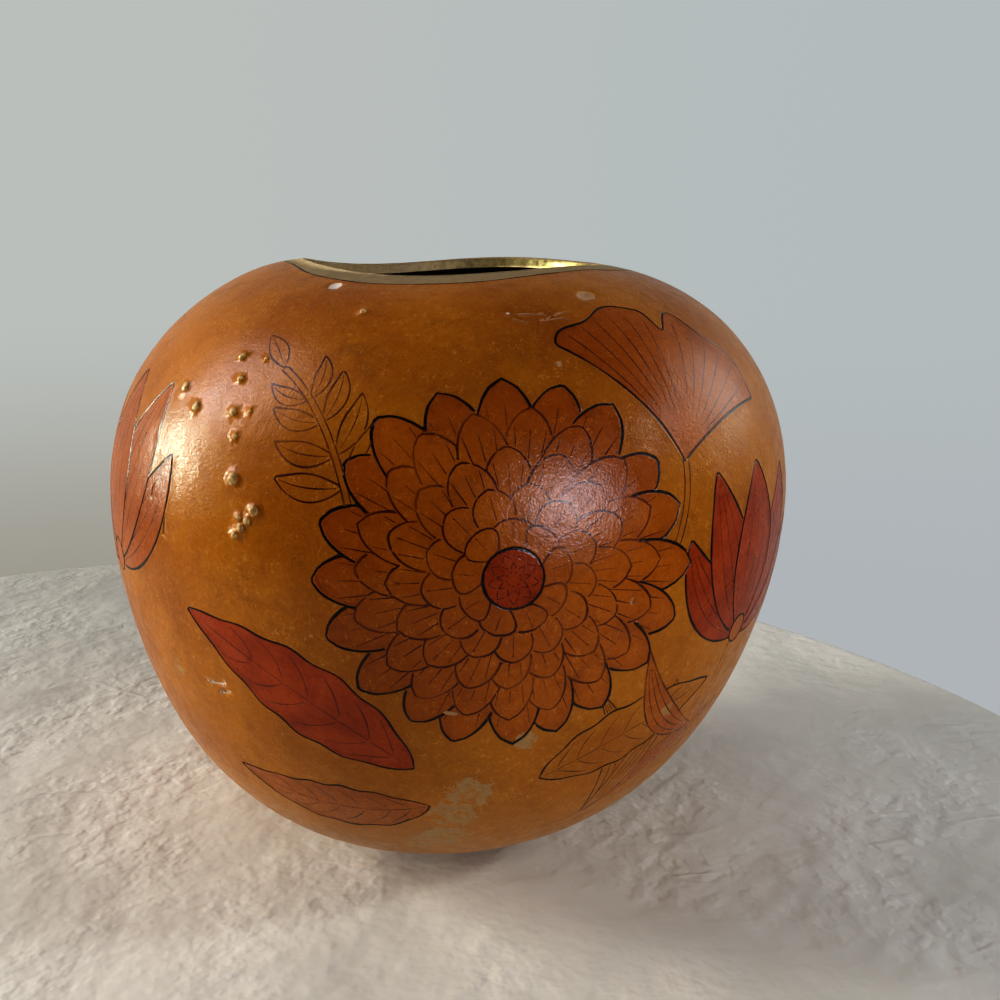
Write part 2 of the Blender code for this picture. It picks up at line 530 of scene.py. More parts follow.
# Chips through the lacquer: length, width, the way they point, and 0.5 for tan or 1 for white
CHIPS = (
    (-30.2, 34.2, 4.6, 3.8, -30.0, 1.0), (32.3, 38.9, 6.8, 4.2, 60.0, 0.5),
    (16.5, 42.4, 7.5, 0.32, 96.0, 0.5), (20.5, 43.7, 8.5, 0.28, 84.0, 0.5),
    (22.5, 42.7, 5.0, 0.30, 72.0, 0.5), (14.0, 43.6, 4.0, 0.26, 110.0, 0.5),
    (-37.5, 97.5, 7.0, 0.30, 80.0, 1.0), (-36.0, 98.8, 5.0, 0.26, 74.0, 1.0),
    (18.0, 51.4, 1.8, 1.4, 0.0, 0.5), (24.8, 82.8, 2.0, 0.6, 20.0, 0.5),
    (-0.2, 97.4, 3.6, 1.3, 100.0, 0.5), (-44.2, 75.0, 4.6, 0.8, 8.0, 0.5),
    (-47.9, 71.0, 3.6, 0.7, 5.0, 0.5), (19.6, 43.4, 2.4, 0.5, 60.0, 0.5),
    (12.0, 42.0, 1.2, 0.8, 60.0, 1.0), (170.0, 44.0, 2.6, 1.2, 40.0, 0.5),
    (232.0, 104.0, 3.0, 1.2, 80.0, 0.5), (104.0, 98.0, 2.2, 1.0, 20.0, 1.0),
)
# Worn patches with ragged edges: reach
WORN = (
    (2.7, 114.0, 8.0), (0.1, 119.2, 8.5), (-1.5, 127.2, 8.0), (-7.0, 130.0, 6.0),
    (11.0, 103.5, 4.0), (36.0, 104.0, 3.5), (-46.7, 97.2, 3.5),
    (150.0, 112.0, 9.0), (190.0, 48.0, 5.0), (240.0, 118.0, 8.0), (84.0, 108.0, 6.0),
)
# Patches where the skin's colour is made darker: reach
DARKER_PATCHES = ((17.0, 42.0, 13.0), (-47.0, 112.0, 10.0), (152.0, 50.0, 16.0), (226.0, 66.0, 14.0))


# The lines, cut to what shows

def resampled(points, step):
    """The same curve with points an even step apart."""
    lengths = np.linalg.norm(np.diff(points, axis=0), axis=1)
    travelled = np.concatenate([[0.0], np.cumsum(lengths)])
    count = max(3, int(round(travelled[-1] / step)) + 1)
    places = np.linspace(0.0, travelled[-1], count)
    return np.stack([np.interp(places, travelled, column) for column in points.T], axis=-1)


class Line:
    """A stretch of line that shows: directions along its middle, and half its width there."""

    def __init__(self, directions, halves, cut):
        self.directions = directions
        self.halves = halves
        self.cut = cut

    def beside(self, offset):
        """Directions along the line, moved sideways by an offset in millimetres."""
        side = unit(np.cross(self.directions, np.gradient(self.directions, axis=0)))
        radius = outer_radius(*bearing_and_angle(self.directions))
        return unit(self.directions + side * (offset / radius)[:, None])


def pen_halves(count, width, seed, closed):
    """Half the line's width along it, with the unsteady pressure of a hand."""
    places = np.arange(count) * LINE_STEP
    draw = random.Random(seed)
    pressure = 1.0
    for wavelength in (31.0, 13.0):
        phase = draw.uniform(0.0, 2 * math.pi)
        pressure = pressure + 0.16 * np.sin(2 * math.pi * places / wavelength + phase)
    if not closed:
        ends = np.minimum(places, places[::-1]) / 4.0
        pressure = pressure * np.clip(0.5 + 0.5 * ends, 0.5, 1.0)
    return width / 2 * pressure


def visible_lines(shapes):
    """Each shape's lines, without what later shapes hide."""
    strokes = []
    for order, shape in enumerate(shapes):
        for points, width in shape.strokes:
            flat = resampled(points, LINE_STEP)
            closed = bool(np.allclose(points[0], points[-1]))
            halves = pen_halves(len(flat), width, len(strokes), closed)
            strokes.append((order, shape.sheet.to_skin(flat), halves, width))
    owners = np.concatenate([np.full(len(way), order) for order, way, _, _ in strokes])
    stations = np.vstack([way for _, way, _, _ in strokes])
    shown = np.ones(len(stations), bool)
    for order, shape in enumerate(shapes):
        below = np.flatnonzero(shown & (owners < order))
        shown[below[shape.holds(stations[below])]] = False
    top = bearing_and_angle(stations)
    shown &= top[1] > band_angle(top[0]) + EDGE_CLEARANCE
    lines = []
    start = 0
    for _, way, halves, width in strokes:
        seen = shown[start : start + len(way)]
        start += len(way)
        changes = np.flatnonzero(np.diff(np.concatenate([[0], seen.astype(int), [0]])))
        for first, last in zip(changes[::2], changes[1::2]):
            if last - first > 2:
                lines.append(Line(way[first:last], halves[first:last], width >= 0.5))
    return lines


def band_line():
    """The thin dark line under the gold."""
    bearing = np.linspace(-math.pi, math.pi, 320)
    way = direction(bearing, band_angle(bearing))
    return Line(way, pen_halves(len(way), BAND_LINE, 77, True), True)


class Nearness:
    """Finds the distance from points on the skin to the nearest of some lines."""

    def __init__(self, lines):
        self.points = np.vstack([outer_points(line.directions) for line in lines])
        self.halves = np.concatenate([line.halves for line in lines])
        lengths = [len(line.directions) for line in lines]
        self.first = np.repeat(np.cumsum([0] + lengths[:-1]), lengths)
        self.last = np.repeat(np.cumsum(lengths) - 1, lengths)
        self.tree = kdtree.KDTree(len(self.points))
        for index, point in enumerate(self.points):
            self.tree.insert(point, index)
        self.tree.balance()

    def edge_distance(self, points):
        """The distance to the nearest line's edge, below zero on the line, and to its middle."""
        nearest = np.array([self.tree.find(point)[1] for point in points])
        best = np.full(len(points), np.inf)
        for step in (-1, 1):
            other = np.clip(nearest + step, self.first[nearest], self.last[nearest])
            start = self.points[nearest]
            way = self.points[other] - start
            square = np.maximum(np.sum(way**2, axis=1), TINY)
            share = np.clip(np.sum((points - start) * way, axis=1) / square, 0.0, 1.0)
            gap = np.linalg.norm(points - start - share[:, None] * way, axis=1)
            best = np.minimum(best, gap)
        return best - self.halves[nearest], best


# The skin's mesh

class Plan:
    """Points on the flat map, and the edges that have to stay between them."""

    def __init__(self):
        self.points = []
        self.edges = []
        self.count = 0

    def add(self, directions, closed=False, joined=True):
        first, count = self.count, len(directions)
        self.points.append(to_map(directions))
        self.count += count
        if joined:
            self.edges += [(first + step, first + step + 1) for step in range(count - 1)]
        if closed:
            self.edges.append((first + count - 1, first))


def ground_grid(low_angle):
    """Even rows of points over the skin."""
    rows = int((math.pi - low_angle) * MEAN_RADIUS / (GRID_STEP * 0.87))
    points = [np.array([[0.0, 0.0, -1.0]])]
    for row in range(1, rows + 1):
        angle = low_angle + (math.pi - low_angle) * (row - 0.5) / rows
        around = 2 * math.pi * MEAN_RADIUS * math.sin(angle)
        count = max(5, int(around / GRID_STEP))
        bearing = (np.arange(count) + 0.5 * (row % 2)) * 2 * math.pi / count
        points.append(direction(bearing, np.full(count, angle)))
    return np.vstack(points)


def chip_outline(length, width, seed):
    """An angular flake."""
    draw = random.Random(seed)
    turn = np.linspace(0.0, 2 * math.pi, 9, endpoint=False)
    radius = np.array([draw.uniform(0.72, 1.15) for _ in turn])
    return as_points(width / 2 * radius * np.sin(turn), length / 2 * radius * np.cos(turn))


class Marks:
    """The drips and chips: their rings in the plan, and their height and cover at any point."""

    def __init__(self):
        self.drips = [(Sheet(bearing, angle), *sizes) for bearing, angle, *sizes in DRIPS]
        self.chips = []
        self.paleness = []
        for seed, (bearing, angle, length, width, turn, paleness) in enumerate(CHIPS):
            sheet = Sheet(bearing, angle, turn)
            outer = chip_outline(length, width, seed)
            reach = np.linalg.norm(outer, axis=1, keepdims=True)
            inner = outer * np.maximum(1.0 - CHIP_DEPTH / reach, 0.3)
            rings = (outer, inner, (outer + inner) / 2)
            self.chips.append([Shape(sheet, ring, "bare", 0.0) for ring in rings])
            self.paleness.append(paleness)

    def add_to(self, plan):
        for sheet, radius, _ in self.drips:
            for share, count in DRIP_RINGS:
                plan.add(sheet.to_skin(circle(share * radius, count)), closed=True)
            plan.add(sheet.middle[None], joined=False)
        for outer, inner, _ in self.chips:
            for shape in (outer, inner):
                plan.add(shape.sheet.to_skin(shape.outline), closed=True)

    def clear_of(self, directions):
        """Which directions are far enough from the marks for a point of the grid."""
        clear = np.ones(len(directions), bool)
        for sheet, radius, _ in self.drips:
            reach = (radius + DRIP_CLEARANCE) / sheet.radius
            clear &= directions @ sheet.middle < math.cos(reach)
        for outer, _, _ in self.chips:
            clear &= ~outer.holds(directions)
        return clear

    def drip(self, directions):
        height = np.zeros(len(directions))
        cover = np.zeros(len(directions))
        for sheet, radius, rise in self.drips:
            gap = sheet.gap(directions) / radius
            height = np.maximum(height, rise * np.sqrt(np.maximum(1.0 - gap**2, 0.0)))
            cover = np.maximum(cover, np.clip((1.0 - gap) / 0.1, 0.0, 1.0))
        return height, cover

    def chip(self, directions):
        cover = np.zeros(len(directions))
        for (_, _, edge), paleness in zip(self.chips, self.paleness):
            cover[edge.holds(directions)] = paleness
        return cover


def plan_of_skin(lines, marks, rim):
    """Triangles over the whole outside, round every line. The rim's points come first."""
    plan = Plan()
    plan.add(rim, closed=True)
    for line in lines:
        offsets = (0.0, 1.0, -1.0)
        if line.cut:
            for side in offsets[1:]:
                plan.add(line.beside(side * (line.halves + GUARD)))
        margin = 0.0 if line.cut else FINE_MARGIN
        for side in offsets:
            plan.add(line.beside(side * (line.halves + margin)))
    marks.add_to(plan)
    near = Nearness(lines)
    grid = ground_grid(float(np.mean(bearing_and_angle(rim)[1])) + EDGE_CLEARANCE)
    edge, _ = near.edge_distance(outer_points(grid))
    plan.add(grid[(edge > GROUND_CLEARANCE) & marks.clear_of(grid)], joined=False)
    flat = [Vector(point) for point in np.vstack(plan.points)]
    made = geometry.delaunay_2d_cdt(flat, plan.edges, [], 0, 2e-4, True)
    points, _, faces, origins = made[:4]
    place = {}
    for index, sources in enumerate(origins):
        for source in sources:
            if source < len(rim):
                place[source] = index
    return np.array(points, float), faces, [place[column] for column in range(len(rim))]


def lumps(points):
    """Slow unevenness of the dried shell, never outward."""
    rise = []
    for point in points:
        place = Vector(point)
        slow, quick = (noise.noise(place / size) for size in LUMP_SIZES)
        rise.append(slow + 0.4 * quick)
    return LUMP_HEIGHT * (np.array(rise) - 0.4)


def lip_rows(outer_ring, inner_ring, bearing):
    """Rings of points over the cut face of the lip, from its outer edge to its inner one."""
    reach = mouth_reach(bearing, MOUTH_RADIUS)
    cut = as_points(HEART_X + reach * np.sin(bearing), -reach * np.cos(bearing))
    fall = 0.6 * LIP_ROUNDING
    upper, lower = outer_ring[:, 2] - fall, inner_ring[:, 2] + 0.4 * fall

    def rounded(ring, share, rise):
        way = share * math.pi / 2
        flat = ring[:, :2] + (cut - ring[:, :2]) * math.sin(way)
        return np.column_stack([flat, ring[:, 2] + rise * (1 - math.cos(way))])

    rows = [rounded(outer_ring, share, -fall) for share in (0.3, 0.6, 0.85)]
    for share in (0.0, 0.25, 0.5, 0.75, 1.0):
        rough = [1.0 + 0.002 * (noise.noise((9 * b, 3 * share, 0.5)) + 0.6) for b in bearing]
        rows.append(np.column_stack([(cut.T * rough).T, upper + (lower - upper) * share]))
    return rows + [rounded(inner_ring, share, 0.4 * fall) for share in (0.85, 0.6, 0.3)]


def skin_parts():
    """What the mesh is made from, worked out on the plan."""
    shapes = drawing()
    lines = visible_lines(shapes) + [band_line()]
    marks = Marks()
    bearing = np.linspace(-math.pi, math.pi, RIM_COLUMNS, endpoint=False)
    reach = mouth_reach(bearing, MOUTH_RADIUS + LIP_ROUNDING)
    rim_angle = angle_at_reach(bearing, reach, outer_surface)
    flat, faces, ring = plan_of_skin(lines, marks, direction(bearing, rim_angle))
    directions = from_map(flat)
    return shapes, lines, marks, bearing, directions, faces, ring


def soft_spots(directions, spots):
    """One in the middle of each spot, fading out over its reach."""
    cover = np.zeros(len(directions))
    for bearing, angle, reach in spots:
        gap = Sheet(bearing, angle).gap(directions)
        cover = np.maximum(cover, np.exp(-((gap / reach) ** 2)))
    return cover


def build_skin():
    shapes, lines, marks, bearing, directions, faces, ring = skin_parts()
    plain = outer_points(directions)

    cut_lines = [line for line in lines if line.cut]
    fine_lines = [line for line in lines if not line.cut]
    cut_edge, cut_middle = Nearness(cut_lines).edge_distance(plain)
    fine_edge, _ = Nearness(fine_lines).edge_distance(plain)
    half = np.maximum(cut_middle - cut_edge, 0.05)
    depth = GROOVE_DEPTH * np.clip(1.0 - cut_middle / half, 0.0, 1.0)
    rise = EDGE_RISE * np.clip(1.0 - np.abs(cut_edge) / (0.8 * GUARD), 0.0, 1.0)
    drip_height, drip_cover = marks.drip(directions)
    chip_cover = marks.chip(directions)
    lift = -SKIN_INSET + lumps(plain) - depth + rise + drip_height - CHIP_DEPTH * (chip_cover > 0)
    outer = outer_points(directions, lift)

    fills = {name: np.zeros(len(directions)) for name in ("red", "russet", "plain", "ink")}
    for shape in shapes:
        held = shape.holds(directions)
        for name, cover in fills.items():
            cover[held] = float(name == shape.fill)
    ink = np.minimum(cut_edge, fine_edge)
    ink = np.where(fills["ink"] > 0.5, -0.3, ink)
    paint = {
        "ink": np.clip(ink, -1.0, 1.0),
        "ink_dark": np.where((cut_edge < fine_edge) | (fills["ink"] > 0.5), 1.0, 0.0),
        "red": fills["red"],
        "russet": fills["russet"],
        "pool": np.exp(-np.maximum(cut_edge, 0.0) / POOL_REACH),
        "bare": chip_cover,
        "drip": drip_cover,
        "worn": soft_spots(directions, WORN),
        "cloud": soft_spots(directions, DARKER_PATCHES),
        "dull_and_shade": np.ones(len(directions)),
    }

    inner_reach = mouth_reach(bearing, MOUTH_RADIUS + LIP_ROUNDING)
    inner_angle = angle_at_reach(bearing, inner_reach, inner_points)
    inner_rows = []
    for row in range(INNER_ROWS):
        share = row / (INNER_ROWS - 0.6)
        inner_rows.append(inner_points(bearing, inner_angle + (math.pi - inner_angle) * share))
    rows = lip_rows(outer[ring], inner_rows[0], bearing) + inner_rows
    return outer, faces, ring, rows, paint, directions


# The mesh's material slots, the rows of gold over the lip, where they are dull and where they
# carry painted shade, and the picture map's reach
GOLD_SLOT = 1
INSIDE_SLOT = 2
GOLD_ROWS = 12
DULL_ROWS = 3
# Painted shade round the inside of the lip: the bearing where it is darkest, and how far it spreads
PAINTED_SHADE_BEARING = -110.0
PAINTED_SHADE_SPREAD = 0.35
HALF_MAP = math.radians(188.0)
MAP_TOP_ANGLE = 0.4
SHOULDER_END = 0.75


def strip_u(bearing, middle):
    """Where a bearing falls across one half of the picture map, with a little to spare."""
    turn = (bearing - middle + math.pi) % (2 * math.pi) - math.pi
    return 0.5 + turn / HALF_MAP


def lip_painted_shade(columns):
    """How dull and dark the gold is round the inside of the lip, most on one side: painted shade.
    """
    bearing = np.linspace(-math.pi, math.pi, columns, endpoint=False)
    toward = np.cos(bearing - math.radians(PAINTED_SHADE_BEARING))
    return np.clip(PAINTED_SHADE_SPREAD + toward, 0.0, 1.0)


def skin_mesh():
    outer, faces, ring, rows, paint, directions = build_skin()
    points = np.vstack([outer, *rows, [[0.0, 0.0, WALL]]])
    columns = len(ring)
    rings = [list(ring)]
    for row in range(len(rows)):
        first = len(outer) + row * columns
        rings.append(list(range(first, first + columns)))
    polygons = [tuple(face) for face in faces]
    slots = outer_slots(directions, faces)
    for row, (above, below) in enumerate(zip(rings, rings[1:])):
        for column in range(columns):
            beside = (column + 1) % columns
            polygons.append((above[column], above[beside], below[beside], below[column]))
            slots.append(GOLD_SLOT if row < GOLD_ROWS else INSIDE_SLOT)
    last = rings[-1]
    for column in range(columns):
        polygons.append((last[column], last[(column + 1) % columns], len(points) - 1))
        slots.append(INSIDE_SLOT)

    mesh = bpy.data.meshes.new("gourd")
    mesh.from_pydata((points * MM).tolist(), [], polygons)
    mesh.validate()
    face_outward(mesh)
    mesh.polygons.foreach_set("material_index", np.array(slots, np.int32))
    for name, values in paint.items():
        layer = mesh.attributes.new(name, "FLOAT", "POINT")
        whole = np.zeros(len(points))
        whole[: len(values)] = values
        if name == "ink":
            whole[len(values) :] = 1.0
        if name == "dull_and_shade":
            whole[len(values) : len(values) + DULL_ROWS * columns] = 1.0
            # The remaining gold rows carry painted shade round the lip, darkest on one side
            lip = slice(len(values) + DULL_ROWS * columns, len(values) + GOLD_ROWS * columns)
            whole[lip] = np.tile(lip_painted_shade(columns), GOLD_ROWS - DULL_ROWS)
        layer.data.foreach_set("value", whole.astype(np.float32))
    add_picture_map(mesh, points, len(faces), columns, len(rows))
    mesh.shade_smooth()
    return mesh


def outer_slots(directions, faces):
    """Gold above the upper edge of the band's dark line, skin below it."""
    corners = np.array([face[:3] for face in faces])
    bearing, angle = bearing_and_angle(unit(directions[corners].mean(axis=1)))
    gold = np.zeros(len(faces), bool)
    near = np.flatnonzero(angle < SHOULDER_END)
    edge = band_angle(bearing[near]) - BAND_LINE / 2 / MEAN_RADIUS
    gold[near] = angle[near] < edge
    return (gold * GOLD_SLOT).tolist()


def face_outward(mesh):
    """Turns every face out, if the mesh is inside out."""
    mesh.calc_loop_triangles()
    corners = np.empty(len(mesh.loop_triangles) * 3, np.int32)
    mesh.loop_triangles.foreach_get("vertices", corners)
    points = np.empty(len(mesh.vertices) * 3)
    mesh.vertices.foreach_get("co", points)
    a, b, c = points.reshape(-1, 3)[corners.reshape(-1, 3)].transpose(1, 0, 2)
    if np.einsum("ij,ij->", a, np.cross(b, c)) < 0:
        mesh.flip_normals()


def add_picture_map(mesh, points, outer_faces, columns, rows):
    """A flat map for baked pictures: front half, back half, then a strip for the lip and inside."""
    loops = len(mesh.loops)
    corner = np.empty(loops, np.int32)
    mesh.loops.foreach_get("vertex_index", corner)
    total = np.empty(len(mesh.polygons), np.int32)
    mesh.polygons.foreach_get("loop_total", total)
    face_of = np.repeat(np.arange(len(total)), total)
    toward = points - HEART
    bearing, angle = bearing_and_angle(unit(toward))
    starts = np.concatenate([[0], np.cumsum(total)[:-1]])
    middle = np.add.reduceat(toward[corner], starts, axis=0) / total[:, None]
    front = (-middle[:, 1] >= 0)[face_of]
    across = np.clip(strip_u(bearing[corner], np.where(front, 0.0, math.pi)), 0.0, 1.0)
    down = (angle[corner] - MAP_TOP_ANGLE) / (math.pi - MAP_TOP_ANGLE)
    v = np.where(front, 0.995 - 0.435 * down, 0.550 - 0.435 * down)
    inner = face_of >= outer_faces
    column = (np.arctan2(middle[:, 0], -middle[:, 1]) / (2 * math.pi) + 0.5)[face_of]
    spread = (bearing[corner] / (2 * math.pi) + 0.5 - column + 0.5) % 1.0 - 0.5
    row = (np.arange(len(total)) - outer_faces) // columns
    vertex_row = (corner - (len(points) - 1 - rows * columns)) // columns
    across = np.where(inner, 0.01 + 0.98 * np.clip(column + spread, 0.0, 1.0), across)
    vertex_row = np.where(corner < len(points) - 1 - rows * columns, -1, vertex_row)
    v = np.where(inner, 0.10 - 0.09 * (vertex_row + 1) / (rows + 1), v)
    layer = mesh.uv_layers.new(name="OFBake")
    layer.data.foreach_set("uv", as_points(across, v).astype(np.float32).ravel())


# Materials

class Nodes:
    """A short way to write a node tree: each method adds a node and gives back its output."""

    def __init__(self, tree):
        self.tree = tree

    def node(self, kind, inputs=(), **settings):
        made = self.tree.nodes.new(kind)
        for name, value in settings.items():
            setattr(made, name, value)
        for name, value in dict(inputs).items():
            self.put(made.inputs[name], value)
        return made

    def put(self, socket, value):
        if isinstance(value, bpy.types.NodeSocket):
            self.tree.links.new(value, socket)
        elif isinstance(value, tuple) and len(value) == 3 and socket.type == "RGBA":
            socket.default_value = (*value, 1.0)
        else:
            socket.default_value = value

    def math(self, operation, *values):
        return self.node("ShaderNodeMath", dict(enumerate(values)), operation=operation).outputs[0]

    def times(self, first, second):
        return self.math("MULTIPLY", first, second)

    def plus(self, total, value, share):
        """The total with this share of a value added to it."""
        return self.math("MULTIPLY_ADD", value, share, total)

    def vector(self, operation, first, second):
        inputs = {0: first, 1: second}
        return self.node("ShaderNodeVectorMath", inputs, operation=operation).outputs["Value"]

    def mix(self, factor, first, second, blend="MIX"):
        inputs = {0: factor, 6: first, 7: second}
        return self.node("ShaderNodeMix", inputs, data_type="RGBA", blend_type=blend).outputs[2]

    def step(self, value, low, high, start=0.0, end=1.0, kind="SMOOTHSTEP"):
        """Value moved from the range low to high to the range start to end."""
        inputs = {"Value": value, "From Min": low, "From Max": high, "To Min": start, "To Max": end}
        return self.node("ShaderNodeMapRange", inputs, interpolation_type=kind).outputs[0]


class Paint(Nodes):
    """The nodes of one material."""

    def __init__(self, name):
        self.material = bpy.data.materials.new(name)
        self.material.use_nodes = True
        super().__init__(self.material.node_tree)
        self.shader = self.tree.nodes["Principled BSDF"]
        self.place = self.node("ShaderNodeTexCoord").outputs["Object"]

    def set(self, **inputs):
        """Sets or links the surface shader's inputs, named with _ for a space."""
        for name, value in inputs.items():
            self.put(self.shader.inputs[name.replace("_", " ")], value)

    def attribute(self, name):
        return self.node("ShaderNodeAttribute", attribute_name=name).outputs["Fac"]

    def scaled(self, colour, factor):
        """A colour made brighter or darker by a factor."""
        inputs = {0: colour, "Scale": factor}
        return self.node("ShaderNodeVectorMath", inputs, operation="SCALE").outputs[0]

    def noise(self, size, detail=3.0, roughness=0.5, distortion=0.0, place=None):
        """Noise with features of about this size, in millimetres."""
        inputs = {
            "Vector": place or self.place,
            "Scale": 1.0 / (size * MM),
            "Detail": detail,
            "Roughness": roughness,
            "Distortion": distortion,
        }
        return self.node("ShaderNodeTexNoise", inputs).outputs["Fac"]

    def threads(self, size, width, place):
        """Loose wandering lines: 1 on a line, 0 between."""
        wander = self.noise(size, 2.0, 0.5, 0.8, place)
        away = self.math("ABSOLUTE", self.math("SUBTRACT", wander, 0.5))
        return self.step(away, 0.0, width, 1.0, 0.0)

    def bump(self, height, distance, strength=1.0):
        inputs = {"Height": height, "Distance": distance * MM, "Strength": strength}
        return self.node("ShaderNodeBump", inputs).outputs[0]


AMBER_LIGHT = (0.405, 0.150, 0.0065)
AMBER_DEEP = (0.305, 0.097, 0.0028)
AMBER_BROWN = (0.185, 0.059, 0.0032)
# A paler, greyer amber painted near the foot: painted light thrown up from the floor
AMBER_FLOOR_BOUNCE = (0.495, 0.238, 0.032)
FIBRE_PALE = (0.60, 0.30, 0.060)
DARKER_PATCH_TINT = (0.74, 0.62, 0.70)
RUSSET_TINT = (0.97, 0.74, 0.52)
POOL_TINT = (0.55, 0.34, 0.30)
RED_DYE = (0.36, 0.058, 0.0060)
RED_DYE_DEEP = (0.25, 0.032, 0.0030)
INK_BLACK = (0.010, 0.006, 0.004)
INK_BROWN = (0.050, 0.008, 0.003)
BARE_SHELL = (0.70, 0.62, 0.56)
BARE_TAN = (0.44, 0.26, 0.13)
WORN_SHELL = (0.37, 0.235, 0.105)
DRIP_GOLD = (0.66, 0.48, 0.22)
DRIP_BROWN = (0.34, 0.19, 0.06)


def skin_material():
    paint = Paint("lacquered_skin")
    cloud = paint.step(paint.noise(38.0, 4.0, 0.62), 0.34, 0.66)
    ground = paint.mix(cloud, AMBER_DEEP, AMBER_LIGHT)
    blotch = paint.step(paint.noise(7.0, 5.0, 0.68), 0.48, 0.76, 0.0, 0.45)
    ground = paint.mix(blotch, ground, AMBER_BROWN)
    grain = paint.step(paint.noise(0.9, 4.0, 0.7), 0.30, 0.70, 0.84, 1.14, "LINEAR")
    ground = paint.scaled(ground, grain)
    broken = paint.step(paint.noise(2.8, 1.0), 0.46, 0.58)
    patchy = paint.step(paint.noise(26.0, 1.0), 0.36, 0.60, 0.55, 1.0)
    fibres = paint.times(paint.times(paint.threads(1.7, 0.021, paint.place), broken), patchy)
    ground = paint.mix(paint.times(fibres, 0.70), ground, FIBRE_PALE)
    # The skin's colour made darker over the listed patches
    patch_darkening = paint.times(paint.attribute("cloud"), paint.step(cloud, 0.0, 1.0, 0.95, 0.6))
    ground = paint.mix(patch_darkening, ground, DARKER_PATCH_TINT, "MULTIPLY")
    # Painted light: up to about 60 mm above the base the amber turns paler and greyer, for light
    # thrown up from the floor
    height = paint.node("ShaderNodeSeparateXYZ", {"Vector": paint.place}).outputs["Z"]
    low = paint.step(paint.plus(height, cloud, 0.012), 0.012, 0.062, 0.42, 0.0)
    ground = paint.mix(low, ground, AMBER_FLOOR_BOUNCE)

    russet = paint.attribute("russet")
    red = paint.attribute("red")
    wash = paint.step(paint.noise(7.0, 4.0, 0.6), 0.3, 0.75)
    russet_ground = paint.mix(1.0, ground, RUSSET_TINT, "MULTIPLY")
    colour = paint.mix(russet, ground, russet_ground)
    red_ground = paint.scaled(paint.mix(wash, RED_DYE, RED_DYE_DEEP), grain)
    colour = paint.mix(red, colour, red_ground)
    tinted = paint.math("MAXIMUM", russet, red)
    pool = paint.times(paint.times(paint.attribute("pool"), 0.28), tinted)
    colour = paint.mix(pool, colour, POOL_TINT, "MULTIPLY")

    tear = paint.noise(5.0, 6.0, 0.74, 1.4)
    worn = paint.plus(paint.attribute("worn"), tear, 1.7)
    worn = paint.step(worn, 1.50, 1.55, 0.0, 0.85)
    worn_colour = paint.mix(paint.step(tear, 0.30, 0.55), AMBER_LIGHT, WORN_SHELL)
    colour = paint.mix(worn, colour, paint.scaled(worn_colour, grain))

    uneven = paint.plus(-0.08, paint.noise(0.5, 2.0), 0.16)
    on_line = paint.step(paint.math("ADD", paint.attribute("ink"), uneven), -0.05, 0.05, 1.0, 0.0)
    dark = paint.attribute("ink_dark")
    faint = paint.step(paint.noise(11.0, 2.0), 0.30, 0.62, 0.55, 1.0)
    drawn = paint.times(on_line, paint.math("MAXIMUM", dark, faint))
    colour = paint.mix(drawn, colour, paint.mix(dark, INK_BROWN, INK_BLACK))

    bare = paint.attribute("bare")
    bare_colour = paint.mix(paint.step(bare, 0.55, 0.9), BARE_TAN, BARE_SHELL)
    colour = paint.mix(paint.step(bare, 0.05, 0.4), colour, paint.scaled(bare_colour, grain))
    blob = paint.mix(paint.step(paint.noise(0.9, 2.0), 0.36, 0.60), DRIP_BROWN, DRIP_GOLD)
    colour = paint.mix(paint.attribute("drip"), colour, blob)

    fine = paint.noise(0.5, 2.0, 0.6)
    leather = paint.plus(fine, paint.noise(0.9, 2.0, 0.6, 0.8), 1.5)
    normal = paint.bump(paint.plus(leather, paint.noise(3.4, 1.0), 2.0), 0.050)
    rough = paint.step(paint.noise(3.0, 1.0), 0.3, 0.7, 0.32, 0.44)
    rough = paint.plus(rough, tinted, -0.05)
    rough = paint.math("MAXIMUM", rough, paint.times(worn, 0.8))
    paint.set(
        Base_Color=colour,
        Roughness=rough,
        Normal=normal,
        Specular_IOR_Level=0.10,
        Coat_Weight=0.3,
        Coat_Roughness=0.13,
        Coat_Normal=normal,
    )
    return paint.material


INSIDE_DARK = (0.065, 0.044, 0.026)
INSIDE_PALE = (0.20, 0.135, 0.075)
GOLD_BRIGHT = (0.86, 0.69, 0.30)
GOLD_DEEP = (0.46, 0.34, 0.13)
# The dull gold, also used for the painted shade round the inside of the lip
GOLD_DULL_AND_SHADE = (0.170, 0.112, 0.060)
GOLD_WORN = (0.155, 0.085, 0.030)
FLOOR_DARK = (0.57, 0.575, 0.55)
FLOOR_PALE = (0.705, 0.715, 0.695)
# The way across the floor towards its far left, where painted shade darkens it
FLOOR_SHADE_WAY = (-0.6, 0.8, 0.0)


def gold_material():
    paint = Paint("gold_paint")
    streaks = paint.noise(2.2, 4.0, 0.6)
    gold = paint.mix(paint.step(streaks, 0.3, 0.7), GOLD_DEEP, GOLD_BRIGHT)
    thin = paint.step(paint.noise(1.3, 4.0, 0.7), 0.60, 0.70, 0.0, 0.7)
    dull_and_shade = paint.attribute("dull_and_shade")
    # Outside, the gold is dull matt paint; round the inside of the lip the same darkening is
    # painted shade
    gold = paint.mix(paint.times(dull_and_shade, 0.8), gold, GOLD_DULL_AND_SHADE)
    gold = paint.mix(thin, gold, GOLD_WORN)
    rough = paint.step(streaks, 0.3, 0.7, 0.28, 0.42)
    paint.set(
        Base_Color=gold,
        Metallic=paint.plus(0.85, dull_and_shade, -0.65),
        Roughness=paint.plus(rough, dull_and_shade, 0.28),
        Normal=paint.bump(paint.noise(0.8, 3.0), 0.12, 0.7),
    )
    return paint.material


def inside_material():
    paint = Paint("bare_inside")
    fibres = paint.noise(3.0, 5.0, 0.7, 1.5)
    colour = paint.mix(paint.step(fibres, 0.3, 0.7), INSIDE_DARK, INSIDE_PALE)
    paint.set(Base_Color=colour, Roughness=0.9, Normal=paint.bump(fibres, 0.6, 0.8))
    return paint.material


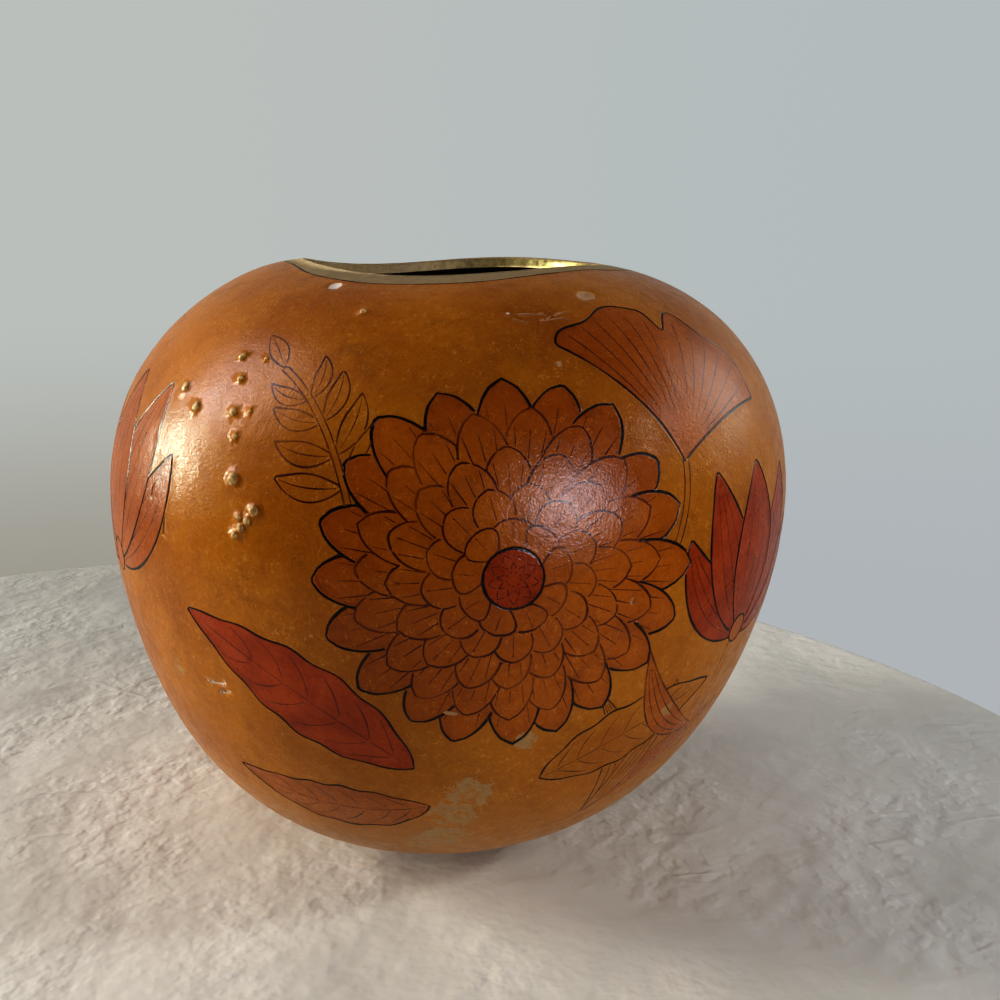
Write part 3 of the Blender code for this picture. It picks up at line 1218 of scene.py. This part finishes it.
def floor_material():
    paint = Paint("pale_floor")
    cloud = paint.step(paint.noise(90.0, 5.0, 0.6), 0.3, 0.7)
    colour = paint.mix(cloud, FLOOR_DARK, FLOOR_PALE)
    # Painted shade: the floor's colour grows darker towards its far left, for the shade that falls
    # there
    toward_painted_shade = paint.vector("DOT_PRODUCT", paint.place, FLOOR_SHADE_WAY)
    colour = paint.scaled(colour, paint.step(toward_painted_shade, 0.045, 0.26, 1.0, 0.67, "LINEAR"))
    swept = {
        "Vector": paint.place,
        "Rotation": (0.0, 0.0, math.radians(16.0)),
        "Scale": (0.35, 1.0, 1.0),
    }
    swept = paint.node("ShaderNodeMapping", swept).outputs[0]
    ridge = paint.threads(52.0, 0.020, swept)
    ridge = paint.times(ridge, paint.step(paint.noise(50.0, 2.0), 0.50, 0.62))
    rough_patch = paint.step(paint.noise(44.0, 2.0), 0.38, 0.62, 0.30, 1.0)
    grit = paint.step(paint.noise(6.0, 2.0, 0.5), 0.34, 0.72)
    grit = paint.times(paint.math("SUBTRACT", grit, 0.5), rough_patch)
    relief = paint.plus(paint.noise(55.0, 1.0), paint.noise(19.0, 3.0, 0.52), 0.50)
    relief = paint.plus(relief, ridge, 0.06)
    relief = paint.plus(relief, grit, 0.11)
    relief = paint.plus(relief, paint.noise(1.8, 1.0), 0.014)
    paint.set(Base_Color=colour, Roughness=0.8, Normal=paint.bump(relief, 5.0, 0.62))
    return paint.material


# The stage: a round pale table, the air behind it and the lights

TABLE_RADIUS = 0.334
TABLE_MIDDLE = (-0.101, -0.082)
TABLE_EDGE = 0.012
TABLE_THICKNESS = 0.06
TABLE_TURNS = 160


def add_object(name, data):
    made = bpy.data.objects.new(name, data)
    bpy.context.scene.collection.objects.link(made)
    return made


def add_table():
    """A round top with a softly rounded edge."""
    profile = []
    for step in range(7):
        way = math.radians(15 * step)
        radius = TABLE_RADIUS - TABLE_EDGE * (1 - math.sin(way))
        profile.append((radius, -TABLE_EDGE * (1 - math.cos(way))))
    profile.append((TABLE_RADIUS, -TABLE_THICKNESS))
    middle_x, middle_y = TABLE_MIDDLE
    points = [(middle_x, middle_y, 0.0)]
    for radius, height in profile:
        for turn in range(TABLE_TURNS):
            way = 2 * math.pi * turn / TABLE_TURNS
            x, y = middle_x + radius * math.cos(way), middle_y + radius * math.sin(way)
            points.append((x, y, height))
    faces = []
    for turn in range(TABLE_TURNS):
        column, beside_it = 1 + turn, 1 + (turn + 1) % TABLE_TURNS
        faces.append((0, column, beside_it))
        for ring in range(len(profile) - 1):
            above, below = ring * TABLE_TURNS, (ring + 1) * TABLE_TURNS
            faces.append((above + column, below + column, below + beside_it, above + beside_it))
    mesh = bpy.data.meshes.new("floor")
    mesh.from_pydata(points, [], faces)
    mesh.shade_smooth()
    mesh.materials.append(floor_material())
    add_object("floor", mesh)


WALL_LEFT = (0.392, 0.409, 0.396)
WALL_RIGHT = (0.366, 0.394, 0.402)
WALL_FOOT_LEFT = (0.285, 0.270, 0.235)
WALL_FOOT_RIGHT = (0.350, 0.368, 0.382)
ROOM_BEHIND = (0.30, 0.31, 0.305)
ROOM_BEFORE = (0.028, 0.028, 0.034)
ROOM_ABOVE = (0.09, 0.09, 0.094)


def add_air():
    """A pale backdrop to look at, and a dimmer room for the gourd to mirror and be lit by."""
    world = bpy.data.worlds.new("air")
    world.use_nodes = True
    air = Nodes(world.node_tree)
    place = air.node("ShaderNodeTexCoord").outputs["Generated"]
    way = air.node("ShaderNodeSeparateXYZ", {"Vector": place}).outputs
    room = air.mix(air.step(way["Y"], -0.35, 0.75), ROOM_BEFORE, ROOM_BEHIND)
    room = air.mix(air.step(way["Z"], 0.25, 0.85), room, ROOM_ABOVE)
    wall = air.mix(air.step(way["X"], -0.35, 0.45), WALL_LEFT, WALL_RIGHT)
    foot = air.mix(air.step(way["X"], -0.35, 0.10), WALL_FOOT_LEFT, WALL_FOOT_RIGHT)
    wall = air.mix(air.step(way["Z"], -0.34, -0.08), foot, wall)
    seen = air.node("ShaderNodeLightPath").outputs["Is Camera Ray"]
    air.put(air.tree.nodes["Background"].inputs["Color"], air.mix(seen, room, wall))
    bpy.context.scene.world = world


# Lights: azimuth (a bearing), elevation, width and height in degrees as seen from the gourd,
# distance in metres, watts, colour, softness of its edges, and whether it lights the scene or is
# mirrored in the lacquer
LIGHTS = (
    ("window", -99.0, 11.0, 16.0, 22.0, 2.4, 53.0, (1.0, 0.90, 0.77), 0.0, "lights"),
    ("window_top", -96.0, 29.0, 16.0, 10.0, 2.4, 15.5, (1.0, 0.93, 0.82), 0.0, "lights"),
    ("room", 35.0, 11.0, 38.0, 38.0, 1.2, 19.5, (1.0, 0.97, 0.95), 1.9, "lights"),
    ("lamp", 76.0, 28.0, 12.0, 12.0, 1.2, 14.0, (1.0, 0.96, 0.92), 1.2, "lights"),
    ("behind", -140.0, 35.0, 50.0, 50.0, 1.6, 3.0, (1.0, 0.95, 0.88), 0.0, "lights"),
    ("window_shine", -99.0, 11.0, 13.0, 22.0, 1.2, 13.0, (0.84, 0.98, 0.84), 0.25, "mirrored"),
    ("top_shine", -96.0, 29.0, 16.0, 10.0, 1.2, 2.6, (0.95, 0.93, 1.0), 0.0, "mirrored"),
    ("glow", -95.0, 42.0, 50.0, 44.0, 1.2, 16.0, (0.85, 0.86, 1.0), 0.9, "mirrored"),
    ("room_shine", 35.0, 11.0, 38.0, 42.0, 1.1, 36.0, (0.84, 0.86, 1.0), 1.9, "mirrored"),
    ("wall_shine", 105.0, 22.0, 60.0, 50.0, 1.3, 16.0, (0.95, 0.98, 0.95), 1.0, "mirrored"),
    ("lamp_shine", 76.0, 28.0, 16.0, 16.0, 1.1, 2.4, (1.0, 0.95, 0.94), 1.2, "mirrored"),
)


def soften_edges(data, softness):
    """Makes an area light brightest in its middle and fade out towards its edges."""
    data.use_nodes = True
    light = Nodes(data.node_tree)
    place = light.node("ShaderNodeNewGeometry").outputs["Parametric"]
    gap = light.vector("DISTANCE", place, (0.5, 0.5, 0.0))
    fade = light.step(gap, 0.5, 0.0, kind="SMOOTHERSTEP")
    strength = light.math("POWER", fade, softness)
    light.put(light.tree.nodes["Emission"].inputs["Strength"], strength)


def add_lights():
    aim = Vector((0.0, 0.0, HEART_HEIGHT * MM))
    for name, azimuth, elevation, width, height, distance, watts, colour, softness, role in LIGHTS:
        data = bpy.data.lights.new(name, "AREA")
        data.shape = "ELLIPSE" if softness else "RECTANGLE"
        data.size = 2 * distance * math.tan(math.radians(width / 2))
        data.size_y = 2 * distance * math.tan(math.radians(height / 2))
        data.energy = watts
        data.color = colour
        if softness:
            soften_edges(data, softness)
        light = add_object(name, data)
        bearing, rise = math.radians(azimuth), math.radians(90.0 - elevation)
        way = Vector(direction(np.float64(bearing), np.float64(rise)))
        light.location = aim + way * distance
        light.rotation_euler = way.to_track_quat("Z", "Y").to_euler()
        light.visible_diffuse = role == "lights"
        light.visible_glossy = role == "mirrored"


# The camera's place in millimetres, its turn in radians and its field of view in degrees, fitted
# to the photograph's outline
CAMERA_DISTANCE = 306.34
CAMERA_ABOVE_HEART = 95.07
CAMERA_PITCH = 0.2645
CAMERA_YAW = 0.0486
CAMERA_FIELD = 50.0


def add_camera():
    data = bpy.data.cameras.new("camera")
    data.sensor_width = 36.0
    data.lens = data.sensor_width / 2 / math.tan(math.radians(CAMERA_FIELD / 2))
    data.clip_start = 0.01
    camera = add_object("camera", data)
    height = HEART_HEIGHT + CAMERA_ABOVE_HEART
    camera.location = (HEART_X * MM, -CAMERA_DISTANCE * MM, height * MM)
    camera.rotation_euler = (math.radians(90.0) - CAMERA_PITCH, 0.0, -CAMERA_YAW)
    bpy.context.scene.camera = camera


def add_gourd():
    mesh = skin_mesh()
    for material in (skin_material(), gold_material(), inside_material()):
        mesh.materials.append(material)
    gourd = add_object("gourd", mesh)
    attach(gourd, "root")
    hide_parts("gourd_shell")


add_gourd()
add_table()
add_air()
add_lights()
add_camera()
bpy.context.scene.view_settings.view_transform = "Standard"
bpy.context.scene.view_settings.look = "High Contrast"
